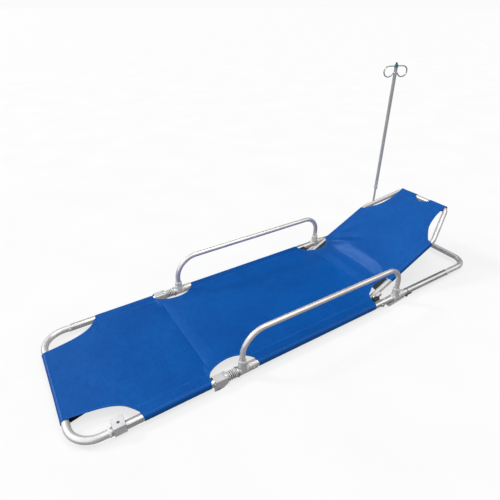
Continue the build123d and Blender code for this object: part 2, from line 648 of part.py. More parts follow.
for hand, way in (("foot", -1), ("head", 1)):
    turned = Plane(origin=(HEAD_SOCKET_X, SOCKET_Y, HOOK_Z), z_dir=(0, -1, 0),
                   x_dir=(1, 0, 0)).rotated((0, 0, HOOK_TURN))
    with BuildPart() as hook:
        with BuildLine(turned) as wire:
            Line((way * 0.6, 0), (way * HOOK_OUT, 0))
            CenterArc((way * HOOK_OUT, -HOOK_RING_R), HOOK_RING_R, 90, -way * 254)
        with BuildSketch(Plane(origin=wire.wire() @ 0, z_dir=wire.wire() % 0)):
            Circle(HOOK_WIRE_R)
        sweep(path=wire.wire())
    save(f"drip_hook_{hand}", hook)

# ---- canvas ---------------------------------------------------------------------------------
SHEET_LOW = CLOTH_TOP - CLOTH          # underside of the sheet above the tube centres
SLEEVE_IN = SIDE_R + 0.04
FOOT_SLEEVE_START = -730.0
FOOT_SLEEVE_END = -480.0
FOOT_EDGE_HALF_W = 165.0
MID_SLEEVE_START = -301.0
MID_SLEEVE_END = 302.0


def both_sides(outline):
    """A closed sheet outline from its +Y half, which starts and ends on the X axis."""
    with BuildSketch() as sheet:
        with BuildLine():
            outline()
            mirror(about=Plane.XZ)
        make_face()
    return sheet.sketch


def side_rods(x_start, x_end, radius):
    """Solid rods along both side tubes' centre lines, for the canvas tunnels and their bores."""
    with BuildPart() as rods:
        for y in (-HALF_W, HALF_W):
            with BuildSketch(across_x(x_start, y)):
                Circle(radius)
            extrude(amount=x_end - x_start)
    return rods.part


def foot_outline():
    Polyline((FOOT_END_X, 0), (FOOT_END_X, FOOT_EDGE_HALF_W))
    ThreePointArc((FOOT_END_X, FOOT_EDGE_HALF_W), (-800, 195), (FOOT_SLEEVE_START, 262))
    Polyline((FOOT_SLEEVE_START, 262), (FOOT_SLEEVE_START, HALF_W), (FOOT_SLEEVE_END, HALF_W),
             (FOOT_SLEEVE_END, 262))
    ThreePointArc((FOOT_SLEEVE_END, 262), (-475, 246), (FOOT_FOLD_X - 2, 237))
    Line((FOOT_FOLD_X - 2, 237), (FOOT_FOLD_X - 2, 0))


def mid_outline():
    Line((MID_START_X, 0), (MID_START_X, 235))
    ThreePointArc((MID_START_X, 235), (-375, 211), (MID_SLEEVE_START, 262))
    Polyline((MID_SLEEVE_START, 262), (MID_SLEEVE_START, HALF_W), (MID_SLEEVE_END, HALF_W),
             (MID_SLEEVE_END, 264))
    ThreePointArc((MID_SLEEVE_END, 264), (309, 228), (326, 205))
    Line((326, 205), (326, 0))


def back_outline():
    Polyline((20, 0), (20, 200), (70, 200))
    ThreePointArc((70, 200), (98, 203), (114, BACK_HALF_W))
    Line((114, BACK_HALF_W), (380, BACK_HALF_W))
    ThreePointArc((380, BACK_HALF_W), (440, 153), (530, 129))
    Polyline((530, 129), (BACK_TOP_S, 129), (BACK_TOP_S, 0))


with BuildPart() as canvas_foot:
    with BuildSketch(Plane.XY.offset(TUBE_Z + SHEET_LOW)):
        add(both_sides(foot_outline))
    extrude(amount=CLOTH)
    add(side_rods(FOOT_SLEEVE_START, FOOT_SLEEVE_END, SLEEVE_R))
    with BuildSketch(Plane(origin=(FOOT_END_X, -FOOT_EDGE_HALF_W, TUBE_Z), z_dir=(0, 1, 0))):
        Circle(SLEEVE_R)
    extrude(amount=2 * FOOT_EDGE_HALF_W)
    add(side_rods(FOOT_SLEEVE_START - 1, FOOT_SLEEVE_END + 1, SLEEVE_IN), mode=Mode.SUBTRACT)
    with BuildSketch(Plane(origin=(FOOT_END_X, -HALF_W, TUBE_Z), z_dir=(0, 1, 0))):
        Circle(END_R + 0.04)
    extrude(amount=2 * HALF_W, mode=Mode.SUBTRACT)
save("canvas_foot", canvas_foot)

with BuildPart() as canvas_mid:
    with BuildSketch(Plane.XY.offset(TUBE_Z + SHEET_LOW)):
        add(both_sides(mid_outline))
    extrude(amount=CLOTH)
    add(side_rods(MID_SLEEVE_START, MID_SLEEVE_END, SLEEVE_R))
    add(side_rods(MID_SLEEVE_START - 1, MID_SLEEVE_END + 1, SLEEVE_IN), mode=Mode.SUBTRACT)
save("canvas_mid", canvas_mid)

BACK_SLEEVE_R = BACK_R + CLOTH + 0.05
HAND_HOLE_HALF_W = 41.0
TOP_SLEEVE_END = 98.0
with BuildPart() as canvas_back:
    with BuildSketch(back_plane.offset(BACK_R + 0.05)):
        add(both_sides(back_outline))
        with BuildLine():
            ThreePointArc((590, -HAND_HOLE_HALF_W), (563, 0), (590, HAND_HOLE_HALF_W))
            Line((590, HAND_HOLE_HALF_W), (590, -HAND_HOLE_HALF_W))
        make_face(mode=Mode.SUBTRACT)
    extrude(amount=CLOTH)
    for y in (-BACK_HALF_W, BACK_HALF_W):
        with BuildSketch(Plane(origin=back_plane.from_local_coords((114, y, 0)), z_dir=back_dir)):
            Circle(BACK_SLEEVE_R)
            Circle(BACK_R + 0.04, mode=Mode.SUBTRACT)
        extrude(amount=380 - 114)
    for y in (-TOP_SLEEVE_END, HAND_HOLE_HALF_W):
        with BuildSketch(Plane(origin=back_plane.from_local_coords((BACK_TOP_S, y, 0)),
                               z_dir=(0, 1, 0))):
            Circle(BACK_SLEEVE_R)
            Circle(BACK_R + 0.04, mode=Mode.SUBTRACT)
        extrude(amount=TOP_SLEEVE_END - HAND_HOLE_HALF_W)
save("canvas_back", canvas_back)
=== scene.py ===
import json
import math
import bmesh
import bpy
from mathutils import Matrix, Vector, noise


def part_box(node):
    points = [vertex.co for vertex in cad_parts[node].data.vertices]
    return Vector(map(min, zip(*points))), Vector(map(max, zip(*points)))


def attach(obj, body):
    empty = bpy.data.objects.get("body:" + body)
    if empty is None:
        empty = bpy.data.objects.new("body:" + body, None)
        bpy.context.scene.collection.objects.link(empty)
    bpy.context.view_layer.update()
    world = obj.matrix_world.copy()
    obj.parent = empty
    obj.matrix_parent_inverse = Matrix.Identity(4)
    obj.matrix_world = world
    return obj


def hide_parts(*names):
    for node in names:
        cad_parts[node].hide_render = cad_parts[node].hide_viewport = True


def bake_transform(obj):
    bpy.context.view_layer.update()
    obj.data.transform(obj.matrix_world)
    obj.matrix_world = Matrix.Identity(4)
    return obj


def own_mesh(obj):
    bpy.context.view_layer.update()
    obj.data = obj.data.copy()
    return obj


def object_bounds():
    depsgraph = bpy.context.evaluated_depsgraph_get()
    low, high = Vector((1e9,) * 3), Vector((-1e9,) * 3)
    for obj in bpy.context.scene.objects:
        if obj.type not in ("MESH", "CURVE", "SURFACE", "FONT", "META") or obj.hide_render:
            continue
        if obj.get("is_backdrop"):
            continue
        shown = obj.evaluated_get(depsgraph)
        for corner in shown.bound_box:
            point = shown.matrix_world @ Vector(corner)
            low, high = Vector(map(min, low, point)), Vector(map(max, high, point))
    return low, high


# Folding stretcher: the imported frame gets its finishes, and the bed and backrest get a cloth in
# two pieces, cut, wrapped round the tubes and stitched. Metres, in the frame's own axes: +X is
# the head end, "near" is the -Y side and "far" is the +Y side.

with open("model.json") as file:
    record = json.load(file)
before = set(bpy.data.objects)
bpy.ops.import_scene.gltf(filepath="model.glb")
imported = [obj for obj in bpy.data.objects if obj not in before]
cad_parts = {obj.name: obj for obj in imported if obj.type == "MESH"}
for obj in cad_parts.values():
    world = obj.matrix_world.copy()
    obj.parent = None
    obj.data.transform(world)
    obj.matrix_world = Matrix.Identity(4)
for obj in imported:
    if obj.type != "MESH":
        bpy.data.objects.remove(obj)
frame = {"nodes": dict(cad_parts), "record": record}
cad_low, cad_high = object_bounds()

MM = 0.001
TINY = 1e-6                   # two stations nearer than this are the same one


def add_object(name, data):
    made = bpy.data.objects.new(name, data)
    bpy.context.scene.collection.objects.link(made)
    return made


def evaluated_mesh(source):
    """A new mesh of what an object looks like with its modifiers or bevel."""
    bpy.context.view_layer.update()
    graph = bpy.context.evaluated_depsgraph_get()
    return bpy.data.meshes.new_from_object(source.evaluated_get(graph))


def set_range(node, start, end, low, high):
    """A Map Range node turns start to end into low to high."""
    for index, value in enumerate((start, end, low, high), 1):
        node.inputs[index].default_value = value


# ---- camera and light ---------------------------------------------------------------------
CAMERA_AT = (-0.8823, -1.1554, 1.1462)
CAMERA_DOWN = 31.48           # degrees below level
CAMERA_TURN = -32.19          # degrees from looking along +Y, negative towards +X
camera_data = bpy.data.cameras.new("camera")
camera = add_object("camera", camera_data)
camera_data.lens = 29.76
camera_data.sensor_width = 36.0
camera_data.clip_start, camera_data.clip_end = 0.02, 600.0
camera.location = CAMERA_AT
camera.rotation_euler = (math.radians(90 - CAMERA_DOWN), 0.0, math.radians(CAMERA_TURN))
bpy.context.scene.camera = camera
bpy.context.scene.view_settings.view_transform = "Standard"

world = bpy.data.worlds.new("studio")
bpy.context.scene.world = world
world.use_nodes = True
sky = world.node_tree
sky.nodes.clear()


def sky_node(kind, **sockets):
    node = sky.nodes.new(kind)
    for key, value in sockets.items():
        node.inputs[key].default_value = value
    return node


def sky_towards(direction):
    """How far the sky's own direction agrees with this one, from -1 to 1."""
    dot = sky_node("ShaderNodeVectorMath")
    dot.operation = "DOT_PRODUCT"
    dot.inputs[1].default_value = direction
    sky.links.new(sky_at.outputs["Generated"], dot.inputs[0])
    return dot.outputs["Value"]


# the studio is pale over the foot end and dark low down and beyond the head end
SKY_BRIGHT_SIDE = (-0.77, 0.08, 0.63)
SKY_STOPS = ((0.0, 0.035), (0.13, 0.08), (0.36, 0.42), (0.52, 0.62), (0.74, 0.95), (1.0, 1.05))
SKY_BLUE = 1.01               # its blue against its red and green
# below the horizon the tubes and the cloth's edges pick up a dull ground
GROUND_TONE = 0.22
HORIZON = (-0.02, 0.04)
# a soft box in front of the head end, which the rails and tubes mirror
SOFT_BOX_AT = (0.52, -0.50, 0.69)
SOFT_BOX_EDGE = (0.80, 0.95)
SOFT_BOX_GLOW = 1.25

sky_out = sky_node("ShaderNodeOutputWorld")
sky_light = sky_node("ShaderNodeBackground", Strength=1.0)
sky_at = sky_node("ShaderNodeTexCoord")
sky_ramp = sky_node("ShaderNodeValToRGB")
sky.links.new(sky_towards(SKY_BRIGHT_SIDE), sky_ramp.inputs[0])
while len(sky_ramp.color_ramp.elements) < len(SKY_STOPS):
    sky_ramp.color_ramp.elements.new(0.5)
for element, (place, tone) in zip(sky_ramp.color_ramp.elements, SKY_STOPS):
    element.position = place
    element.color = (tone, tone, tone * SKY_BLUE, 1)

sky_height = sky_node("ShaderNodeSeparateXYZ")
sky.links.new(sky_at.outputs["Generated"], sky_height.inputs[0])
sky_above = sky_node("ShaderNodeMapRange")
set_range(sky_above, *HORIZON, 0.0, 1.0)
sky.links.new(sky_height.outputs["Z"], sky_above.inputs[0])
sky_both = sky_node("ShaderNodeMixRGB", Color1=(GROUND_TONE, GROUND_TONE, GROUND_TONE, 1))
sky.links.new(sky_above.outputs[0], sky_both.inputs["Fac"])
sky.links.new(sky_ramp.outputs["Color"], sky_both.inputs["Color2"])

sky_glow = sky_node("ShaderNodeMapRange")
set_range(sky_glow, *SOFT_BOX_EDGE, 0.0, SOFT_BOX_GLOW)
sky.links.new(sky_towards(SOFT_BOX_AT), sky_glow.inputs[0])
sky_sum = sky_node("ShaderNodeMixRGB", Fac=1.0)
sky_sum.blend_type = "ADD"
sky.links.new(sky_both.outputs[0], sky_sum.inputs["Color1"])
sky.links.new(sky_glow.outputs[0], sky_sum.inputs["Color2"])
sky.links.new(sky_sum.outputs[0], sky_light.inputs["Color"])
sky.links.new(sky_light.outputs[0], sky_out.inputs[0])


def soft_sun(name, source, width, strength):
    """Even light over everything, from the direction source, spread over width degrees."""
    data = bpy.data.lights.new(name, "SUN")
    data.angle, data.energy = math.radians(width), strength
    lamp = add_object(name, data)
    lamp.rotation_euler = (-Vector(source)).to_track_quat("-Z", "Y").to_euler()


soft_sun("key", (0.28, 0.0, 0.96), 24, 0.66)
soft_sun("rim", (-0.55, 0.56, 0.63), 11, 1.10)


class Finish:
    """A node material: texture nodes that feed one Principled shader."""

    def __init__(self, name):
        self.material = bpy.data.materials.new(name)
        self.material.use_nodes = True
        self.tree = self.material.node_tree
        self.tree.nodes.clear()
        self.out = self.tree.nodes.new("ShaderNodeOutputMaterial")
        self.shader = self.tree.nodes.new("ShaderNodeBsdfPrincipled")
        self.tree.links.new(self.shader.outputs[0], self.out.inputs[0])
        coordinates = self.tree.nodes.new("ShaderNodeTexCoord")
        self.place = coordinates.outputs["Object"]

    def set(self, **sockets):
        for key, value in sockets.items():
            self.shader.inputs[key.replace("_", " ")].default_value = value
        return self

    def node(self, kind, *links, **sockets):
        made = self.tree.nodes.new(kind)
        for key, value in sockets.items():
            made.inputs[key.replace("_", " ")].default_value = value
        for socket, source in links:
            self.tree.links.new(source, made.inputs[socket])
        return made

    def noise(self, scale, stretch=(1, 1, 1), detail=3.0, source=None):
        """Noise of that many features a metre, stretched by the factors along X, Y and Z."""
        mapping = self.node("ShaderNodeMapping", ("Vector", source or self.place), Scale=stretch)
        made = self.node("ShaderNodeTexNoise", ("Vector", mapping.outputs[0]),
                         Scale=scale, Detail=detail)
        return made.outputs["Fac"]

    def ramp(self, source, stops):
        made = self.node("ShaderNodeValToRGB", (0, source))
        ramp = made.color_ramp
        while len(ramp.elements) < len(stops):
            ramp.elements.new(0.5)
        for element, (position, colour) in zip(ramp.elements, stops):
            element.position = position
            element.color = (*colour, 1.0) if len(colour) == 3 else colour
        return made.outputs["Color"]

    def grey(self, source, low, high, start=0.3, end=0.7):
        """source, from start to end, turned to a number from low to high."""
        made = self.node("ShaderNodeMapRange", (0, source))
        set_range(made, start, end, low, high)
        return made.outputs[0]

    def link(self, source, socket):
        self.tree.links.new(source, self.shader.inputs[socket])
        return self

    def bump(self, source, strength, distance, under=None):
        made = self.node("ShaderNodeBump", ("Height", source), Strength=strength, Distance=distance)
        if under is not None:
            self.tree.links.new(under, made.inputs["Normal"])
        return made.outputs[0]


# painted shade: metal parts darken towards this colour in their corners and gaps, found by ambient
# occlusion
PAINTED_SHADE_REACH = 8 * MM
PAINTED_SHADE_OPENNESS = (0.20, 0.85)    # how open a place is where the painted shade is whole, and where it ends
PAINTED_SHADE_COLOUR = (0.03, 0.028, 0.026)


def metal(name, light, dark, rough, grain=(1, 1, 1), pitted=0.0, metallic=1.0, painted_shade=0.0):
    """Bare or plated metal: mottled colour, fine grain drawn along one axis, patchy roughness."""
    finish = Finish(name).set(Metallic=metallic)
    cloud = finish.noise(14.0, detail=4.0)
    streaks = finish.noise(900.0, stretch=grain, detail=2.0)
    colour = finish.ramp(cloud, [(0.3, dark), (0.7, light)])
    if painted_shade:
        # painted shade: the colour darkens in the corners and gaps, where little is open within
        # reach
        open_air = finish.node("ShaderNodeAmbientOcclusion", Distance=PAINTED_SHADE_REACH).outputs["AO"]
        shade = finish.node("ShaderNodeMixRGB",
                            ("Fac", finish.grey(open_air, painted_shade, 0.0, *PAINTED_SHADE_OPENNESS)),
                            ("Color1", colour), Color2=(*PAINTED_SHADE_COLOUR, 1))
        colour = shade.outputs[0]
    finish.link(colour, "Base Color")
    finish.link(finish.grey(streaks, rough * 0.75, rough * 1.3), "Roughness")
    normal = finish.bump(streaks, 0.12, 0.0002)
    if pitted:
        normal = finish.bump(finish.noise(300.0, detail=5.0), pitted, 0.0010, normal)
    finish.link(normal, "Normal")
    return finish.material


def moulded(name, light, dark, rough, coat=0.0, speckle=700.0):
    """Moulded plastic or paint: a faint mottle, a fine leather-like skin."""
    finish = Finish(name).set(Coat_Weight=coat, Coat_Roughness=0.12)
    finish.link(finish.ramp(finish.noise(60.0), [(0.3, dark), (0.7, light)]), "Base Color")
    skin = finish.noise(speckle, detail=2.0)
    finish.link(finish.grey(skin, rough * 0.85, rough * 1.2), "Roughness")
    finish.link(finish.bump(skin, 0.10, 0.0002), "Normal")
    return finish.material


ALONG_X = (0.02, 1, 1)
ALONG_Z = (1, 1, 0.02)
materials = {
    "side_tube": metal("drawn_tube", (0.86, 0.84, 0.83), (0.70, 0.69, 0.68), 0.22, ALONG_X,
                       metallic=0.78, painted_shade=0.95),
    "end_tube": metal("bent_tube", (0.92, 0.92, 0.92), (0.78, 0.77, 0.77), 0.26, metallic=0.50),
    "backrest_tube": metal("backrest_tube", (0.74, 0.73, 0.72), (0.58, 0.57, 0.56), 0.30,
                           metallic=0.50, painted_shade=0.8),
    "rail_tube": metal("rail_tube", (0.94, 0.89, 0.86), (0.80, 0.75, 0.72), 0.24, ALONG_X,
                       metallic=0.60),
    "pole_tube": metal("pole_tube", (0.86, 0.86, 0.87), (0.70, 0.70, 0.72), 0.22, ALONG_Z,
                       metallic=0.60),
    "cast_fitting": metal("cast_fitting", (0.88, 0.88, 0.88), (0.58, 0.58, 0.59), 0.40,
                          pitted=0.45, metallic=0.42, painted_shade=0.9),
    "cast_socket": metal("cast_socket", (0.84, 0.84, 0.85), (0.66, 0.66, 0.67), 0.46,
                         pitted=0.35, metallic=0.35, painted_shade=0.8),
    "collar": metal("collar", (0.80, 0.78, 0.76), (0.60, 0.58, 0.57), 0.36, pitted=0.18,
                    metallic=0.50, painted_shade=0.8),
    "hinge_steel": metal("hinge_steel", (0.30, 0.29, 0.28), (0.16, 0.155, 0.15), 0.38,
                         pitted=0.12, painted_shade=0.8),
    "spring_steel": metal("spring_steel", (0.95, 0.95, 0.95), (0.84, 0.84, 0.84), 0.34,
                          metallic=0.35),
    "lock_ring": metal("lock_ring", (0.70, 0.70, 0.70), (0.50, 0.50, 0.51), 0.35),
    "fastener_steel": metal("fastener_steel", (0.66, 0.66, 0.66), (0.46, 0.46, 0.47), 0.34),
    "white_ring": moulded("white_ring", (0.86, 0.86, 0.85), (0.78, 0.78, 0.76), 0.45),
    "black_ratchet": moulded("black_ratchet", (0.035, 0.033, 0.034), (0.018, 0.018, 0.02), 0.45,
                             coat=0.15, speckle=500.0),
    "teal_cap": moulded("teal_cap", (0.05, 0.30, 0.30), (0.03, 0.22, 0.24), 0.28, coat=0.3),
    "dark_ball": moulded("dark_ball", (0.05, 0.05, 0.06), (0.03, 0.03, 0.04), 0.25, coat=0.4),
    "hook_wire": metal("hook_wire", (0.74, 0.74, 0.75), (0.56, 0.56, 0.58), 0.25, metallic=0.7),
    "grey_nylon": moulded("grey_nylon", (0.60, 0.61, 0.62), (0.50, 0.51, 0.52), 0.45),
}
WEAVE_SCALE = 222.8164        # a Wave Texture's scale, which gives about 7 threads a centimetre


def canvas_finish(name, light, dark):
    """Coated plain-weave cloth. Its pattern follows the cloth's own lengthways and crossways."""
    finish = Finish(name).set(Specular_IOR_Level=0.46, Specular_Tint=(0.30, 0.55, 1.0, 1.0))
    cloth_at = finish.node("ShaderNodeAttribute")
    cloth_at.attribute_name = "cloth_at"
    at = cloth_at.outputs["Vector"]
    broad = finish.noise(4.5, detail=3.0, source=at)
    slub = finish.noise(160.0, stretch=(0.15, 1, 1), detail=3.0, source=at)
    slub_across = finish.noise(160.0, stretch=(1, 0.15, 1), detail=3.0, source=at)
    both = finish.node("ShaderNodeMix", ("A", slub), ("B", slub_across))
    mottle = finish.node("ShaderNodeMix", ("A", broad), ("B", both.outputs[0]), Factor=0.62)
    finish.link(finish.ramp(mottle.outputs[0], [(0.36, dark), (0.62, light)]), "Base Color")
    finish.link(finish.grey(both.outputs[0], 0.30, 0.42), "Roughness")
    # over and under of the threads
    threads = []
    for along in ("X", "Y"):
        wave = finish.node("ShaderNodeTexWave", ("Vector", at), Scale=WEAVE_SCALE, Distortion=0.4)
        wave.bands_direction = along
        threads.append(wave.outputs["Fac"])
    weave = finish.node("ShaderNodeMath", (0, threads[0]), (1, threads[1]))
    weave.operation = "MULTIPLY"
    fine = finish.bump(weave.outputs[0], 0.35, 0.0003)
    finish.link(finish.bump(both.outputs[0], 0.22, 0.0008, fine), "Normal")
    return finish.material


materials["canvas"] = canvas_finish("canvas", (0.0010, 0.090, 0.372), (0.0002, 0.058, 0.280))
# near-black cloth for painted shade: the strip under the backrest's edges and the foot sleeve's
# flap
shade_cloth_material = moulded("painted_shade_cloth", (0.022, 0.016, 0.014), (0.010, 0.008, 0.008), 0.7,
                          speckle=900.0)
# the cloth's cut edges are darker than its faces and have no gloss: painted shade along the edges
cut_edge_material = moulded("cut_edge", (0.002, 0.045, 0.200), (0.001, 0.030, 0.140), 0.9,
                            speckle=900.0)
cut_edge_shader = cut_edge_material.node_tree.nodes["Principled BSDF"]
cut_edge_shader.inputs["Specular IOR Level"].default_value = 0.0
thread_material = moulded("thread", (0.040, 0.190, 0.560), (0.022, 0.150, 0.480), 0.5)

for part in frame["record"]["subparts"]:
    node = frame["nodes"][part["node"]]
    node.data.materials.clear()
    node.data.materials.append(materials[part["material_slot"]])

# ---- the cloth's route along the stretcher ------------------------------------------------
CLOTH_T = 0.9 * MM
HALF_W = 274 * MM             # side tube centres
SIDE_SLEEVE_R = 15.05 * MM    # outside of the cloth round a side tube
BACK_SLEEVE_R = 12.05 * MM    # and round the backrest's tube
END_SLEEVE_R = 13.6 * MM      # and round the foot cross tube
TUBE_Z = 25 * MM
BED_Z = TUBE_Z + SIDE_SLEEVE_R
FOOT_X = -933.95 * MM         # foot cross tube's centre
LEVEL_X = -745 * MM           # the cloth has come up level with the side tubes here
PIVOT = Vector((349 * MM, 0, 16 * MM))    # the backrest's hinge
BACK_ANGLE = math.radians(26)
BACK_DIR = Vector((math.cos(BACK_ANGLE), 0, math.sin(BACK_ANGLE)))
BACK_UP = Vector((-math.sin(BACK_ANGLE), 0, math.cos(BACK_ANGLE)))
BACK_HALF_W = 214 * MM        # backrest tube centres
TURN_START_X = 318 * MM       # where the cloth leaves the bed's level
TURN_END_S = 112 * MM         # where it reaches the backrest's plane, along the backrest
TOP_S = 587 * MM              # the backrest's top cross tube, along the backrest
FOLD_X = -462 * MM            # the foot fold's hinge


def back_point(s, y=0.0, up=BACK_SLEEVE_R):
    return PIVOT + BACK_DIR * s + BACK_UP * up + Vector((0, y, 0))


def smooth(value, low, high):
    t = min(1.0, max(0.0, (value - low) / (high - low)))
    return t * t * (3 - 2 * t)


def hill(value, centre, width):
    return math.exp(-((value - centre) / width) ** 2)


turn_a = Vector((TURN_START_X, 0, BED_Z))
turn_b = back_point(TURN_END_S)
TURN_PULL = (turn_b - turn_a).length * 1.05


def turn_point(t):
    """Hermite curve from the bed's level up to the backrest's plane."""
    h = (2 * t**3 - 3 * t**2 + 1, t**3 - 2 * t**2 + t, -2 * t**3 + 3 * t**2, t**3 - t**2)
    return (turn_a * h[0] + Vector((TURN_PULL, 0, 0)) * h[1] + turn_b * h[2]
            + BACK_DIR * TURN_PULL * h[3])


TURN_STEPS = 64
turn_table = [(0.0, turn_a)]
for step in range(1, TURN_STEPS + 1):
    point = turn_point(step / TURN_STEPS)
    turn_table.append((turn_table[-1][0] + (point - turn_table[-1][1]).length, point))
TURN_LENGTH = turn_table[-1][0]


def bed_height(x):
    return TUBE_Z + END_SLEEVE_R + (SIDE_SLEEVE_R - END_SLEEVE_R) * smooth(x, FOOT_X, LEVEL_X)


def along(s):
    """The cloth's lengthways coordinate of a place s up the backrest."""
    return TURN_START_X + TURN_LENGTH + s - TURN_END_S


def route(u):
    """Centre line of the cloth's upper face at lengthways coordinate u, which is x on the bed."""
    if u <= TURN_START_X:
        return Vector((u, 0, bed_height(u)))
    if u < TURN_START_X + TURN_LENGTH:
        done = u - TURN_START_X
        for (length_a, a), (length_b, b) in zip(turn_table, turn_table[1:]):
            if done <= length_b:
                return a.lerp(b, (done - length_a) / (length_b - length_a))
    return back_point(u - TURN_START_X - TURN_LENGTH + TURN_END_S)


def route_frame(u):
    """Point, lengthways direction and upward normal of the centre line."""
    step = 0.5 * MM
    tangent = (route(u + step) - route(u - step)).normalized()
    return route(u), tangent, Vector((-tangent.z, 0, tangent.x))


# ---- the cut: half width of the flat part, and where it goes on round a tube --------------
def curve_through(points, u):
    """Half width at u, on a smooth curve through (u, half width) points."""
    for i in range(len(points) - 1):
        if points[i][0] <= u <= points[i + 1][0]:
            (u0, y0), (u1, y1) = points[i], points[i + 1]
            before = points[i - 1] if i else points[i]
            after = points[i + 2] if i + 2 < len(points) else points[i + 1]
            t = (u - u0) / (u1 - u0)
            m0 = (y1 - before[1]) / (u1 - before[0]) * (u1 - u0)
            m1 = (after[1] - y0) / (after[0] - u0) * (u1 - u0)
            return (y0 * (2 * t**3 - 3 * t**2 + 1) + m0 * (t**3 - 2 * t**2 + t)
                    + y1 * (-2 * t**3 + 3 * t**2) + m1 * (t**3 - t**2))
    return points[0][1] if u < points[0][0] else points[-1][1]


BED_LIMIT = 262 * MM          # the flat part ends here where a sleeve goes on
BACK_LIMIT = 203 * MM
SLEEVES = [                   # start, end, tube's half spacing, sleeve radius, flat limit
    (-728 * MM, -480 * MM, HALF_W, SIDE_SLEEVE_R, BED_LIMIT),
    (-301 * MM, 301 * MM, HALF_W, SIDE_SLEEVE_R, BED_LIMIT),
    (along(108 * MM), along(380 * MM), BACK_HALF_W, BACK_SLEEVE_R, BACK_LIMIT),
]


def from_mm(points, shift=0.0):
    return [(x * MM + shift, y * MM) for x, y in points]


BACK_SHIFT = along(0.0)
SCALLOPS = [
    from_mm([(-933.95, 167), (-905, 171), (-862, 178), (-822, 187), (-786, 201), (-760, 219),
             (-742, 241), (-728, 262)]),
    from_mm([(-480, 262), (-475.5, 251), (-468, 241), (-455, 232), (-435, 223), (-410, 216.5),
             (-385, 214.5), (-358, 218), (-334, 228), (-315, 244), (-301, 262)]),
    from_mm([(301, 262), (305, 248), (311, 235), (320, 221), (331, 211), (346, 204)])
    + from_mm([(24, 193), (60, 185), (88, 190), (108, 203)], BACK_SHIFT),
    from_mm([(380, 203), (386, 196), (398, 186), (416, 172), (440, 156), (465, 145), (492, 137.5),
             (520, 132), (548, 130), (570, 130.5), (587, 131.5)], BACK_SHIFT),
]


def half_width(u):
    for points in SCALLOPS:
        if points[0][0] - TINY <= u <= points[-1][0] + TINY:
            return curve_through(points, u)
    return BACK_LIMIT if u > along(0.0) else BED_LIMIT


HOLE_START_S = 563 * MM
HOLE_R = 44.6 * MM            # arc of the half-moon hand hole


def hole_half_width(u):
    depth = u - along(HOLE_START_S)
    return 0.0 if depth <= 0 else math.sqrt(max(0.0, HOLE_R**2 - (HOLE_R - depth) ** 2))


SLEEVE_FADE = 6 * MM          # over which a scallop's edge becomes a held one


def scallop_weight(u):
    """1 beside a scallop's middle, 0 where the cloth's edge is held in a sleeve."""
    weight = 1.0
    for start, end, *_ in SLEEVES:
        weight = min(weight, 1 - (smooth(u, start - SLEEVE_FADE, start)
                                  * (1 - smooth(u, end, end + SLEEVE_FADE))))
    return weight


# folds that run in where the backrest's sleeves begin, most of them from the far side: start
# and end of each, along the backrest and across, then width and height, all in millimetres
FOLDS = [
    ((124, 200), (232, 70), 8, -4.2), ((104, 196), (214, 34), 9, 3.6),
    ((150, 202), (268, 96), 8, 3.0), ((176, 203), (318, 128), 9, -1.8),
    ((92, 186), (176, 10), 9, -1.6),
    ((118, -196), (196, -92), 9, -1.6), ((104, -190), (176, -70), 10, 1.5),
]


def fold_height(u, y):
    total = 0.0
    for (s0, y0), (s1, y1), width, depth in FOLDS:
        a = Vector((along(s0 * MM), y0 * MM))
        b = Vector((along(s1 * MM), y1 * MM))
        run = b - a
        t = (Vector((u, y)) - a).dot(run) / run.length_squared
        if -0.1 < t < 1.2:
            off = (Vector((u, y)) - a - run * t).length
            strength = smooth(t, -0.1, 0.25) * (1 - smooth(t, 0.55, 1.2))
            total += depth * MM * strength * math.exp(-(off / ((width + 7 * t) * MM)) ** 2)
    return total


STITCH_ROWS = [along(s * MM) for s in (18, 27, 36, 45, 54)]
SLEEVE_SEAM_IN = 22 * MM      # from the flat limit in to the seam beside a sleeve
HEM_SEAM_IN = 6.3 * MM        # from a free edge in to its hem's seam

# heights and depths of what lift() adds to the cloth
SAG = 4.5 * MM
FOLD_DIP = 6.5 * MM           # broad dip towards the foot fold
FOLD_LINE = 1.9 * MM          # sharp line along the fold
FOLD_ECHO = 1.5 * MM          # raised line on its head side
SLACK = 14.5 * MM             # hollow where the backrest turns up
CREST = 5.2 * MM              # and the swelling above it
UNEVEN = 1.25 * MM
RIPPLE = 0.35 * MM
RIPPLE_REACH = 0.12
HEM = 0.55 * MM
HEM_GROOVE = 0.45 * MM
SLEEVE_GROOVE = 0.55 * MM
ROW_GROOVE = 1.25 * MM


